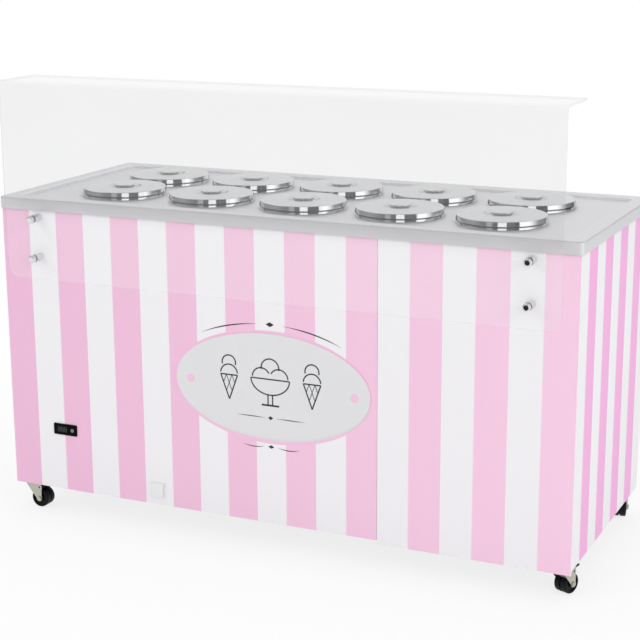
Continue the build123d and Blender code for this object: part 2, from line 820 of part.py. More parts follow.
def make_lid(x, y):
    """A pressed lid with a dished middle, a hollow knob and a rib that seats on the pot's collar."""
    band_top = lid_shadow_gap + lid_band
    crown = band_top + lid_crown
    dish = crown - dish_depth
    knob_top = dish + knob_height
    dish_floor_radius = dish_radius - dish_slope
    knob_foot = knob_radius - knob_flare
    seat_outer = pot_radius + collar_overlap / 2
    seat_inner = seat_outer - lid_wall
    band_edge = lid_radius - lid_taper
    with BuildPart() as lid:
        with BuildSketch(Plane(origin=(x, y, lid_seat), x_dir=(1, 0, 0), z_dir=(0, -1, 0))) as half:
            with BuildLine():
                Polyline(
                    (lid_radius, lid_shadow_gap),
                    (lid_radius - lid_wall, lid_shadow_gap),
                    (band_edge - lid_wall, band_top - lid_wall),
                    (seat_outer, band_top - lid_wall),
                    (seat_outer, 0),
                    (seat_inner, 0),
                    (seat_inner, band_top - lid_wall),
                    (dish_radius + lid_wall, crown - lid_wall),
                    (dish_floor_radius + lid_wall, dish - lid_wall),
                    (knob_foot - lid_wall, dish - lid_wall),
                    (knob_radius - lid_wall, knob_top - lid_wall),
                    (0, knob_top - lid_wall),
                    (0, knob_top),
                    (knob_radius, knob_top),
                    (knob_foot, dish),
                    (dish_floor_radius, dish),
                    (dish_radius, crown),
                    (band_edge, band_top),
                    close=True,
                )
            make_face()
            fillet(half.vertices().sort_by_distance((knob_radius, knob_top))[0], knob_round)
            fillet(half.vertices().sort_by_distance((band_edge, band_top))[0], lid_edge_round)
        revolve(axis=Axis((x, y, 0), (0, 0, 1)))
    return lid


for row, row_name in enumerate(("front", "rear")):
    for column in range(columns):
        place_x = (column - (columns - 1) / 2) * pitch_x
        place_y = cabinet_y + (row - (rows - 1) / 2) * pitch_y
        save(make_pot(place_x, place_y), f"pot_{row_name}_{column + 1}")
        save(make_lid(place_x, place_y), f"lid_{row_name}_{column + 1}")

# Caster plates: each has a race and a headed kingpin under it
with BuildPart() as caster_plates:
    with BuildSketch(level(race_top)):
        with GridLocations(2 * caster_x, 2 * caster_y, 2, 2):
            RectangleRounded(caster_plate_size, caster_plate_size, caster_plate_corner)
    extrude(amount=caster_plate_thickness)
    with BuildSketch(level(race_top)):
        with GridLocations(2 * caster_x, 2 * caster_y, 2, 2):
            Circle(race_radius)
    extrude(amount=-race_height)
    with BuildSketch(level(race_top)):
        with GridLocations(2 * caster_x, 2 * caster_y, 2, 2):
            Circle(kingpin_radius)
    extrude(amount=kingpin_head_top - race_top)
    with BuildSketch(level(kingpin_head_top)):
        with GridLocations(2 * caster_x, 2 * caster_y, 2, 2):
            Circle(kingpin_head_radius)
    extrude(amount=-kingpin_head_height)
save(caster_plates, "caster_plates")


def caster_planes(x, y, yaw):
    """A fork's planes: flat on the floor, upright along its trail, and upright across its axle."""
    trail_way = (cos(radians(yaw)), sin(radians(yaw)), 0)
    axle_way = (-sin(radians(yaw)), cos(radians(yaw)), 0)
    flat = Plane(origin=(x, y, 0), x_dir=trail_way, z_dir=(0, 0, 1))
    along = Plane(origin=(x, y, 0), x_dir=trail_way, z_dir=(sin(radians(yaw)), -cos(radians(yaw)), 0))
    axle_point = (x + caster_trail * trail_way[0], y + caster_trail * trail_way[1], wheel_radius)
    across = Plane(origin=axle_point, x_dir=axle_way, z_dir=trail_way)
    return flat, along, across


def make_fork(x, y, yaw, braked):
    """A pressed fork: crown, two tapered side plates, a sloping web and a riveted axle."""
    flat, along, _ = caster_planes(x, y, yaw)
    slope = (caster_trail - fork_boss + crown_lead) / (crown_bottom - wheel_radius)
    web_reach = slope * fork_web_height
    with BuildPart() as fork:
        with BuildSketch(flat.offset(crown_bottom)):
            with Locations(((crown_rear - crown_lead) / 2, 0)):
                Rectangle(crown_rear + crown_lead, 2 * (fork_half + fork_plate))
            Circle(kingpin_radius + shaft_clearance, mode=Mode.SUBTRACT)
        extrude(amount=crown_thickness)
        with BuildSketch(along.offset(fork_half), along.offset(-fork_half - fork_plate)):
            with BuildLine():
                Polyline(
                    (-crown_lead, crown_top),
                    (crown_rear, crown_top),
                    (crown_rear, wheel_radius),
                    (caster_trail - fork_boss, wheel_radius),
                    (-crown_lead, crown_bottom),
                    close=True,
                )
            make_face()
            with Locations((caster_trail, wheel_radius)):
                Circle(fork_boss)
            if braked:
                with Locations((pedal_u, pedal_z)):
                    Circle(pedal_pin_radius + shaft_clearance, mode=Mode.SUBTRACT)
        extrude(amount=fork_plate)
        with BuildSketch(along):
            with BuildLine():
                Polyline(
                    (-crown_lead, crown_bottom),
                    (fork_plate - crown_lead, crown_bottom),
                    (fork_plate - crown_lead + web_reach, crown_bottom - fork_web_height),
                    (web_reach - crown_lead, crown_bottom - fork_web_height),
                    close=True,
                )
            make_face()
        extrude(amount=fork_half, both=True)
        with BuildSketch(along):
            with Locations((caster_trail, wheel_radius)):
                Circle(axle_radius)
        extrude(amount=fork_half + fork_plate, both=True)
        with BuildSketch(
            along.offset(fork_half + fork_plate),
            along.offset(-fork_half - fork_plate - axle_head_height),
        ):
            with Locations((caster_trail, wheel_radius)):
                Circle(axle_head_radius)
        extrude(amount=axle_head_height)
    return fork


def make_wheel(x, y, yaw):
    """A twin-tread wheel with dished sides, bored for the axle."""
    _, _, across = caster_planes(x, y, yaw)
    half_width = wheel_width / 2
    hub_half = fork_half - running_gap
    bore = axle_radius + shaft_clearance
    dish_face = half_width - wheel_dish
    rim_bore = wheel_radius - wheel_rim
    groove_floor = wheel_radius - wheel_groove_depth
    groove_half = wheel_groove_width / 2
    with BuildPart() as wheel:
        with BuildSketch(across) as half:
            with BuildLine():
                Polyline(
                    (-hub_half, bore),
                    (-hub_half, wheel_hub_radius),
                    (-dish_face, wheel_hub_radius),
                    (-dish_face, rim_bore),
                    (-half_width, rim_bore),
                    (-half_width, wheel_radius),
                    (-groove_half, wheel_radius),
                    (-groove_half, groove_floor),
                    (groove_half, groove_floor),
                    (groove_half, wheel_radius),
                    (half_width, wheel_radius),
                    (half_width, rim_bore),
                    (dish_face, rim_bore),
                    (dish_face, wheel_hub_radius),
                    (hub_half, wheel_hub_radius),
                    (hub_half, bore),
                    close=True,
                )
            make_face()
            for side in (-1, 1):
                edge = half.vertices().sort_by_distance((side * half_width, wheel_radius))[0]
                fillet(edge, wheel_edge_round)
                lip = half.vertices().sort_by_distance((side * groove_half, wheel_radius))[0]
                fillet(lip, wheel_groove_round)
        revolve(axis=Axis(across.origin, across.x_dir))
    return wheel


def make_pedal(x, y, yaw):
    """A brake pedal: a tread that rises outwards, a shoe over the wheel and a pin through the fork."""
    _, along, _ = caster_planes(x, y, yaw)
    shoe_middle = (
        pedal_u + shoe_length / 2 * sin(radians(shoe_lean)),
        pedal_z - shoe_length / 2 * cos(radians(shoe_lean)),
    )
    tread_middle = (
        pedal_u + pedal_length / 2 * cos(radians(pedal_rise)),
        pedal_z + pedal_length / 2 * sin(radians(pedal_rise)),
    )
    with BuildPart() as pedal:
        with BuildSketch(along):
            with Locations((pedal_u, pedal_z)):
                Circle(pedal_knuckle_radius)
            with Locations(tread_middle):
                Rectangle(pedal_length, pedal_thickness, rotation=pedal_rise)
            with Locations(shoe_middle):
                Rectangle(shoe_width, shoe_length, rotation=shoe_lean)
        extrude(amount=pedal_width / 2, both=True)
        with BuildSketch(along):
            with Locations((pedal_u, pedal_z)):
                Circle(pedal_pin_radius)
        extrude(amount=fork_half + fork_plate, both=True)
    return pedal


for corner, (corner_x, corner_y, corner_yaw) in caster_places.items():
    braked = corner in braked_casters
    save(make_fork(corner_x, corner_y, corner_yaw, braked), f"caster_fork_{corner}")
    save(make_wheel(corner_x, corner_y, corner_yaw), f"caster_wheel_{corner}")
    if braked:
        save(make_pedal(corner_x, corner_y, corner_yaw), f"brake_pedal_{corner}")
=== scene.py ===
from math import cos, pi, radians, sin

import bmesh
import bpy
from mathutils import Matrix, Vector


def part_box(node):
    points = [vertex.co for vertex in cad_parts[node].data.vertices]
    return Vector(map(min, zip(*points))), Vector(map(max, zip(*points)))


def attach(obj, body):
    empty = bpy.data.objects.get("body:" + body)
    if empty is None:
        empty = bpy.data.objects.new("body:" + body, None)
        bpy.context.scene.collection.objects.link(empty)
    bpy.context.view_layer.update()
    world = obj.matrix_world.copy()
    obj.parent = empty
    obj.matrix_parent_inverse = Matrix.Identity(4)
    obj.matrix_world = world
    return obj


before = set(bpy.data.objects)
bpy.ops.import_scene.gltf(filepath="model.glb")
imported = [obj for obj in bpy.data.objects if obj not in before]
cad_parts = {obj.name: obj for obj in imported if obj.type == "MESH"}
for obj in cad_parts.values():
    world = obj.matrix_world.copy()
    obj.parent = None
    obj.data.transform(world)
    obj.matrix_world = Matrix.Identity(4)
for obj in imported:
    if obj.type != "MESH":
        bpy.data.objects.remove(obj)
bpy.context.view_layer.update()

millimetre = 0.001

# Sizes in metres, read from the frame
panel_low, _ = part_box("front_panel")
_, service_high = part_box("front_service_panel")
_, side_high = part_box("right_side_panel")
guard_low, guard_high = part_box("sneeze_guard")
plaque_low, plaque_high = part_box("sign_plaque")
display_low, display_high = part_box("thermostat_display")
worktop_low, worktop_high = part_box("worktop")
panel_face = panel_low[1]
plaque_face = plaque_low[1]
display_face = display_low[1]
front_ends = (panel_low[0], service_high[0])
side_ends = (panel_face, side_high[1])
plaque_x = (plaque_low[0] + plaque_high[0]) / 2
plaque_z = (plaque_low[2] + plaque_high[2]) / 2
plaque_half_width = (plaque_high[0] - plaque_low[0]) / 2
plaque_half_height = (plaque_high[2] - plaque_low[2]) / 2

# Stripes on the whole front and on each side
front_stripes = 19
side_stripes = 9


def srgb(red, green, blue):
    """A colour written in 0 to 255 display values, as linear red, green, blue and alpha."""
    straight_end = 0.04045
    straight_slope = 12.92
    lift = 0.055
    power = 2.4
    linear = []
    for value in (red / 255, green / 255, blue / 255):
        curved = ((value + lift) / (1 + lift)) ** power
        linear.append(value / straight_slope if value <= straight_end else curved)
    return (*linear, 1.0)


def shade(colour, factor):
    """The same colour, lighter or darker by a factor."""
    return (*[channel * factor for channel in colour[:3]], 1.0)


# Colours of the printed film and the sign
PINK = srgb(240, 188, 218)
PALE_PINK = srgb(249, 206, 231)
SIDE_PINK = srgb(245, 170, 224)
BORDER_PINK = srgb(243, 198, 225)
FILM_WHITE = srgb(243, 242, 245)
SIGN_GREY = srgb(226, 227, 228)


class Nodes:
    """The nodes of one tree, with short ways to add and link them."""

    def __init__(self, tree):
        self.tree = tree

    def node(self, kind, **settings):
        """A new node of the given kind, with its settings."""
        made = self.tree.nodes.new(kind)
        for key, value in settings.items():
            setattr(made, key, value)
        return made

    def put(self, socket, value):
        """Set a socket to a plain value, or link another socket to it."""
        if isinstance(value, bpy.types.NodeSocket):
            self.tree.links.new(value, socket)
        else:
            socket.default_value = value

    def math(self, operation, first, second=0.0):
        """The result of one operation on one or two numbers."""
        made = self.node("ShaderNodeMath", operation=operation)
        self.put(made.inputs[0], first)
        self.put(made.inputs[1], second)
        return made.outputs[0]

    def add(self, first, second):
        return self.math("ADD", first, second)

    def subtract(self, first, second):
        return self.math("SUBTRACT", first, second)

    def multiply(self, first, second):
        return self.math("MULTIPLY", first, second)

    def divide(self, first, second):
        return self.math("DIVIDE", first, second)

    def over(self, value, limit):
        """1 where a value is over a limit, and 0 elsewhere."""
        return self.math("GREATER_THAN", value, limit)

    def under(self, value, limit):
        """1 where a value is under a limit, and 0 elsewhere."""
        return self.math("LESS_THAN", value, limit)

    def either(self, first, second):
        """The higher of two numbers, which is 1 where either of two marks is 1."""
        return self.math("MAXIMUM", first, second)

    def flat_dot(self, first, second):
        """The dot product of two flat vectors, each given as two numbers."""
        return self.add(self.multiply(first[0], second[0]), self.multiply(first[1], second[1]))

    def spread(self, factor, low, high):
        """A number that goes from low to high as factor goes from 0 to 1."""
        made = self.node("ShaderNodeMapRange")
        self.put(made.inputs["Value"], factor)
        made.inputs["To Min"].default_value = low
        made.inputs["To Max"].default_value = high
        return made.outputs["Result"]

    def ramp(self, value, start, end):
        """A number that goes from 0 to 1 as value goes from start to end, and stays there."""
        made = self.node("ShaderNodeMapRange")
        self.put(made.inputs["Value"], value)
        made.inputs["From Min"].default_value = start
        made.inputs["From Max"].default_value = end
        return made.outputs["Result"]

    def blend(self, factor, first, second):
        """A colour that goes from first to second as factor goes from 0 to 1."""
        first_colour, second_colour, mixed_colour = 6, 7, 2
        made = self.node("ShaderNodeMix", data_type="RGBA")
        self.put(made.inputs["Factor"], factor)
        self.put(made.inputs[first_colour], first)
        self.put(made.inputs[second_colour], second)
        return made.outputs[mixed_colour]

    def coordinates(self, space="Object"):
        return self.node("ShaderNodeTexCoord").outputs[space]

    def axes(self, space="Object"):
        """The three parts of a coordinate, as separate sockets."""
        made = self.node("ShaderNodeSeparateXYZ")
        self.put(made.inputs[0], self.coordinates(space))
        return made.outputs

    def noise(self, scale, detail, stretch=(1, 1, 1)):
        """A grain in space, finer along an axis with a larger stretch."""
        mapping = self.node("ShaderNodeMapping")
        mapping.inputs["Scale"].default_value = stretch
        self.put(mapping.inputs["Vector"], self.coordinates())
        made = self.node("ShaderNodeTexNoise")
        made.inputs["Scale"].default_value = scale
        made.inputs["Detail"].default_value = detail
        self.put(made.inputs["Vector"], mapping.outputs["Vector"])
        return made.outputs["Fac"]

    def noise_along(self, value, scale, detail):
        """A grain that varies along one number."""
        made = self.node("ShaderNodeTexNoise", noise_dimensions="1D")
        made.inputs["Scale"].default_value = scale
        made.inputs["Detail"].default_value = detail
        self.put(made.inputs["W"], value)
        return made.outputs["Fac"]


class Surface(Nodes):
    """A material with one Principled shader, and short ways to add nodes to it."""

    def __init__(self, name, roughness=0.5, metallic=0.0):
        self.material = bpy.data.materials.new(name)
        self.material.use_nodes = True
        super().__init__(self.material.node_tree)
        self.shader = self.tree.nodes["Principled BSDF"]
        self.set("Roughness", roughness)
        self.set("Metallic", metallic)

    def set(self, socket_name, value):
        """Set or link one socket of the shader."""
        self.put(self.shader.inputs[socket_name], value)

    def colour(self, value):
        self.set("Base Color", value)

    def rough(self, factor, low, high):
        self.set("Roughness", self.spread(factor, low, high))

    def bump(self, height, strength, depth):
        """Relief from a height between 0 and 1, with its full depth in metres."""
        made = self.node("ShaderNodeBump")
        made.inputs["Strength"].default_value = strength
        made.inputs["Distance"].default_value = depth
        self.put(made.inputs["Height"], height)
        self.set("Normal", made.outputs["Normal"])

    def glow(self, strength, colour=(1, 1, 1, 1)):
        """A shader that gives light of one strength, white unless it is given a colour."""
        made = self.node("ShaderNodeEmission")
        made.inputs["Strength"].default_value = strength
        self.put(made.inputs["Color"], colour)
        return made.outputs[0]

    def show(self, shader):
        """Make a shader the surface, in place of the Principled one."""
        self.put(self.tree.nodes["Material Output"].inputs["Surface"], shader)

    def show_mix(self, share, first, second):
        """Make a mix of two shaders the surface, with the given share of the second."""
        made = self.node("ShaderNodeMixShader")
        self.put(made.inputs[0], share)
        self.put(made.inputs[1], first)
        self.put(made.inputs[2], second)
        self.show(made.outputs[0])


def mottled(
    name, colour, roughness, metallic=0.0, scale=60.0, stretch=(1, 1, 1), tone=0.08, bump=0.1, shine=0.5
):
    """A surface whose tone, roughness and relief all vary with one grain."""
    grain_detail = 4.0
    rough_change = 0.2
    relief_depth = 0.4 * millimetre
    surface = Surface(name, metallic=metallic)
    surface.set("Specular IOR Level", shine)
    grain = surface.noise(scale, grain_detail, stretch)
    surface.colour(surface.blend(grain, shade(colour, 1 - tone), shade(colour, 1 + tone)))
    surface.rough(grain, roughness * (1 - rough_change), roughness * (1 + rough_change))
    surface.bump(grain, bump, relief_depth)
    return surface.material


def metal(name, colour, roughness, **grain):
    """A bare or plated metal with a grain."""
    return mottled(name, colour, roughness, metallic=1.0, **grain)


def striped_film(name, axis, ends, count, near_pink, far_pink, pink_first=True):
    """Film printed on the outside in upright stripes along one axis, with a faint orange-peel skin."""
    start, end = ends
    even_shift = 100.0
    inside_limit = -0.01
    cloud_share = 0.06
    surface = Surface(name)
    position = surface.axes()
    number = surface.divide(surface.subtract(position[axis], start), (end - start) / count)
    odd = surface.math("MODULO", surface.math("FLOOR", surface.add(number, even_shift)), 2.0)
    pink = surface.blend(surface.divide(number, float(count)), near_pink, far_pink)
    stripes = surface.blend(odd, pink, FILM_WHITE) if pink_first else surface.blend(odd, FILM_WHITE, pink)
    outward = surface.multiply(surface.axes("Normal")[1 - axis], position[1 - axis])
    stripes = surface.blend(surface.under(outward, inside_limit), stripes, FILM_WHITE)
    cloud = surface.noise(scale=3.0, detail=2.0)
    peel = surface.noise(scale=420.0, detail=2.0)
    surface.colour(surface.blend(surface.spread(cloud, 0.0, cloud_share), stripes, FILM_WHITE))
    surface.rough(cloud, low=0.34, high=0.46)
    surface.bump(peel, strength=0.03, depth=0.2 * millimetre)
    surface.set("Specular IOR Level", 0.4)
    return surface.material


def brushed_sheet(name, colour):
    """Satin steel sheet, brushed along X, with soft cloudy wear, and a painted highlight on faces that
    point in towards the middle, such as the inner sides of the rim.
    """
    line_dark = shade(colour, 0.95)
    line_light = shade(colour, 1.04)
    worn_light = shade(colour, 1.06)
    painted_rim_highlight = shade(colour, 1.22)
    cloud_share = 0.25
    inward_limit = -0.1
    surface = Surface(name, metallic=1.0)
    lines = surface.noise(scale=220.0, detail=5.0, stretch=(0.02, 1.0, 1.0))
    cloud = surface.noise(scale=5.0, detail=3.0)
    tone = surface.blend(lines, line_dark, line_light)
    worn = surface.blend(surface.spread(cloud, 0.0, cloud_share), tone, worn_light)
    outward = surface.flat_dot(surface.axes(), surface.axes("Normal"))
    # Painted highlight: faces that point in towards the middle get a lighter colour
    surface.colour(surface.blend(surface.under(outward, inward_limit), worn, painted_rim_highlight))
    surface.rough(lines, low=0.48, high=0.6)
    surface.bump(lines, strength=0.05, depth=0.1 * millimetre)
    return surface.material


def turned_steel(name, colour, seat, seat_shadow_colour, hollow=False):
    """Pressed steel: satin circles on flat faces, polished bands, and painted shade in dark streaks under a
    flare.

    A painted shadow line, in its own dark colour, shows where lid and collar meet, between two shares of
    the piece's height.
    A hollow piece is duller inside.
    """
    ring_dark = shade(colour, 0.95)
    ring_light = shade(colour, 1.05)
    band_light = shade(colour, 1.02)
    painted_shade_dark = shade(colour, 0.4)
    polish = 0.035
    flat_limit = 0.9
    flare_limit = -0.3
    inward_limit = -0.05
    floor_limit = 0.3
    floor_share = 0.9
    inside_metal = 0.3
    inside_rough = 0.35
    surface = Surface(name, metallic=1.0)
    x, y, z = surface.axes("Generated")
    normal = surface.axes("Normal")
    from_axis = (surface.subtract(x, 0.5), surface.subtract(y, 0.5))
    radius = surface.math("SQRT", surface.flat_dot(from_axis, from_axis))
    turned = surface.noise_along(radius, scale=160.0, detail=4.0)
    upward = surface.math("ABSOLUTE", normal[2])
    flat = surface.over(upward, flat_limit)
    upright = surface.under(upward, flat_limit)
    steel = surface.blend(flat, band_light, surface.blend(turned, ring_dark, ring_light))

    # Painted shade: downward faces under a flare get dark streaks, standing in for the shade and dark
    # reflections there
    turn = surface.math("ARCTAN2", from_axis[1], from_axis[0])
    streaks = surface.noise_along(turn, scale=7.0, detail=2.0)
    flared = surface.multiply(upright, surface.under(normal[2], flare_limit))
    painted_shade_streaks = surface.multiply(flared, surface.ramp(streaks, start=0.36, end=0.62))
    steel = surface.blend(painted_shade_streaks, steel, painted_shade_dark)

    # Painted shadow: a dark line on upright faces in the gap where lid and collar meet
    in_seat_shadow = surface.multiply(surface.over(z, seat[0]), surface.under(z, seat[1]))
    painted_seat_shadow = surface.multiply(in_seat_shadow, upright)
    satin = surface.multiply(flat, surface.spread(turned, low=0.2, high=0.3))
    roughness = surface.add(satin, polish)
    if hollow:
        inward = surface.under(surface.flat_dot(from_axis, normal), inward_limit)
        floor = surface.multiply(surface.over(normal[2], floor_limit), surface.under(z, floor_share))
        inside = surface.either(inward, floor)
        painted_seat_shadow = surface.multiply(painted_seat_shadow, surface.subtract(1.0, inside))
        surface.set("Metallic", surface.spread(inside, 1.0, inside_metal))
        roughness = surface.add(roughness, surface.multiply(inside, inside_rough))
    surface.colour(surface.blend(painted_seat_shadow, steel, seat_shadow_colour))
    surface.set("Roughness", roughness)
    return surface.material


def clear_acrylic(name):
    """Clear sheet: see-through faces with a painted reflection veil, pale low down and greyer above the
    worktop, and denser cut edges.
    """
    edge_limit = 0.6
    edge_cover = 0.22
    edge_tone = srgb(205, 206, 210)
    low_tone = srgb(250, 249, 251)
    high_tone = srgb(186, 187, 189)
    veil_start = worktop_low[2] - 20 * millimetre
    veil_end = worktop_high[2]
    middle_z = (guard_low[2] + guard_high[2]) / 2
    surface = Surface(name, roughness=0.06)
    surface.set("IOR", 1.49)
    _, y, z = surface.axes()
    along_x, along_y, along_z = [
        surface.over(surface.math("ABSOLUTE", part), edge_limit) for part in surface.axes("Normal")
    ]
    bottom_edge = surface.multiply(surface.under(z, middle_z), along_z)
    rear_edge = surface.multiply(surface.over(y, guard_high[1] - millimetre), along_y)
    edge = surface.either(surface.either(along_x, bottom_edge), rear_edge)
    # Painted reflection: a veil of colour over the clear sheet, paler low down and greyer above the
    # worktop, varied in patches
    height = surface.ramp(z, veil_start, veil_end)
    veil_tone = surface.blend(height, low_tone, high_tone)
    surface.colour(surface.blend(edge, veil_tone, edge_tone))
    veil_patches = surface.spread(surface.noise(scale=2.2, detail=2.0), low=0.9, high=1.1)
    veil = surface.multiply(surface.spread(height, low=0.08, high=0.12), veil_patches)
    cover = surface.either(veil, surface.multiply(edge, edge_cover))
    clear = surface.node("ShaderNodeBsdfTransparent").outputs[0]
    surface.show_mix(cover, clear, surface.shader.outputs[0])
    return surface.material


def sign_face(name):
    """Pale oval face with a thin pink border at its sides and top, and a pink dot at each end."""
    border_width = 3 * millimetre
    print_right = 2 * millimetre
    print_drop = 2 * millimetre
    print_over = 1 * millimetre
    dot_reach = 221 * millimetre
    dot_drop = 1 * millimetre
    dot_radius = 11 * millimetre
    cloud_tone = 0.01
    surface = Surface(name)
    x, _, z = surface.axes()
    from_x = surface.subtract(x, plaque_x + print_right)
    from_z = surface.subtract(z, plaque_z - print_drop)
    across = surface.divide(from_x, plaque_half_width - border_width)
    upright = surface.divide(from_z, plaque_half_height + print_over)
    outside = surface.over(surface.flat_dot((across, upright), (across, upright)), 1.0)
    dot_x = surface.subtract(surface.math("ABSOLUTE", from_x), dot_reach)
    dot_z = surface.add(from_z, dot_drop)
    in_dot = surface.under(surface.flat_dot((dot_x, dot_z), (dot_x, dot_z)), dot_radius ** 2)
    cloud = surface.noise(scale=4.0, detail=2.0)
    pale = surface.blend(cloud, shade(SIGN_GREY, 1 - cloud_tone), shade(SIGN_GREY, 1 + cloud_tone))
    surface.colour(surface.blend(surface.either(outside, in_dot), pale, BORDER_PINK))
    surface.rough(cloud, low=0.3, high=0.42)
    return surface.material


# Where the painted shadow line at the lid's seat and at the collar's top shows, as shares of the lid's and
# the pot's height
LID_SEAT_SHADOW = (-1.0, 0.085)
COLLAR_TOP_SHADOW = (0.9865, 2.0)

MATERIALS = {
    "front_film": striped_film("front_film", 0, front_ends, front_stripes, PINK, PALE_PINK),
    "side_film": striped_film(
        "side_film", 1, side_ends, side_stripes, SIDE_PINK, SIDE_PINK, pink_first=False
    ),
    "worktop": brushed_sheet("worktop_steel", srgb(231, 231, 233)),
    "lid": turned_steel("lid_steel", srgb(206, 207, 208), LID_SEAT_SHADOW, srgb(26, 26, 28)),
    "pot": turned_steel("pot_steel", srgb(206, 207, 209), COLLAR_TOP_SHADOW, srgb(80, 80, 82), hollow=True),
    "acrylic": clear_acrylic("clear_acrylic"),
    "sign": sign_face("sign_face"),
    "tank": metal("tank_steel", srgb(190, 192, 194), 0.35, scale=90, stretch=(0.05, 1, 1)),
    "cap": metal(
        "cap_steel", srgb(222, 222, 225), 0.08, scale=240, stretch=(1, 1, 0.1), tone=0.1, bump=0.04
    ),
    "barrel": metal(
        "barrel_steel", srgb(222, 223, 225), 0.18, scale=200, stretch=(1, 0.1, 1), tone=0.04, bump=0.04
    ),
    "screw": metal("screw_steel", srgb(150, 150, 152), 0.3, scale=300),
    "galvanised": metal("galvanised_sheet", srgb(176, 179, 182), 0.45, scale=45, tone=0.12, bump=0.06),
    "aluminium": metal(
        "mill_aluminium", srgb(196, 198, 200), 0.38, scale=120, stretch=(1, 1, 0.06), bump=0.05
    ),
    "nickel": metal("caster_nickel", srgb(186, 183, 172), 0.3, scale=160, stretch=(1, 1, 0.2), bump=0.06),
    # Dark caster plates: partly a dark zinc finish, partly painted shade for the dark gap between the panel
    # and the casters
    "plate": metal("caster_plate_dark_zinc_and_shade", srgb(58, 58, 60), 0.4, scale=160, tone=0.1, bump=0.06),
    "rear_coat": mottled("rear_coated_sheet", srgb(236, 236, 235), 0.45, scale=380, tone=0.015, bump=0.05),
    "white_plastic": mottled("white_plastic", srgb(238, 238, 239), 0.38, scale=260, tone=0.015, bump=0.05),
    "black_plastic": mottled(
        "black_plastic", srgb(24, 23, 26), 0.42, scale=500, tone=0.15, bump=0.12, shine=0.2
    ),
    "bezel": mottled("bezel_plastic", srgb(9, 8, 10), 0.3, scale=600, tone=0.15, bump=0.08, shine=0.04),
    "window": mottled("display_window", srgb(12, 12, 13), 0.12, scale=40, tone=0.1, bump=0.0, shine=0.05),
    "button": mottled("button_plastic", srgb(118, 118, 120), 0.4, scale=500, tone=0.05, bump=0.08),
    "grey_pipe": mottled("drain_pipe_plastic", srgb(150, 152, 154), 0.5, scale=200),
    "compressor": mottled("compressor_paint", srgb(28, 28, 30), 0.45, scale=240, tone=0.15, bump=0.15),
    "foam": mottled("foam", srgb(228, 214, 170), 0.85, scale=110, tone=0.12, bump=0.5),
    "tread": mottled("wheel_tread", srgb(11, 11, 12), 0.45, scale=420, tone=0.2, bump=0.15, shine=0.15),
    "border": mottled("border_print", BORDER_PINK, 0.38, scale=300, tone=0.02, bump=0.02),
    "margin": mottled("margin_print", SIGN_GREY, 0.36, scale=4, tone=0.01, bump=0.0),
    "ink": mottled("sign_ink", srgb(34, 33, 38), 0.45, scale=300, tone=0.06, bump=0.02),
    "segment": mottled("display_segment", srgb(74, 76, 78), 0.35, scale=200, tone=0.06, bump=0.02),
}

NODE_LOOKS = {
    "base_pan": "galvanised",
    "corner_posts": "galvanised",
    "front_panel": "front_film",
    "front_service_panel": "front_film",
    "left_side_panel": "side_film",
    "right_side_panel": "side_film",
    "rear_panel": "rear_coat",
    "rear_grille": "rear_coat",
    "rear_screws": "screw",
    "worktop": "worktop",
    "tank": "tank",
    "evaporator": "aluminium",
    "insulation": "foam",
    "compressor": "compressor",
    "condenser": "aluminium",
    "fan_shroud": "galvanised",
    "fan_motor": "galvanised",
    "fan_blade": "aluminium",
    "power_inlet": "black_plastic",
    "thermostat_case": "bezel",
    "thermostat_display": "window",
    "thermostat_button": "button",
    "drain_escutcheon": "white_plastic",
    "drain_flap": "white_plastic",
    "drain_pipe": "grey_pipe",
    "sneeze_guard": "acrylic",
    "standoff_barrels": "barrel",
    "standoff_caps": "cap",
    "sign_plaque": "sign",
    "caster_plates": "plate",
}
FAMILY_LOOKS = {
    "pot_": "pot",
    "lid_": "lid",
    "caster_fork_": "nickel",
    "caster_wheel_": "tread",
    "brake_pedal_": "black_plastic",
}


def look_of(node):
    """The material of a CAD node, by its name or by the family it belongs to."""
    if node in NODE_LOOKS:
        return MATERIALS[NODE_LOOKS[node]]
    family = next(start for start in FAMILY_LOOKS if node.startswith(start))
    return MATERIALS[FAMILY_LOOKS[family]]


for node_name, node_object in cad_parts.items():
    node_object.data.materials.clear()
    node_object.data.materials.append(look_of(node_name))
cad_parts["sneeze_guard"].visible_shadow = False
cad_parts["sneeze_guard"].visible_diffuse = False


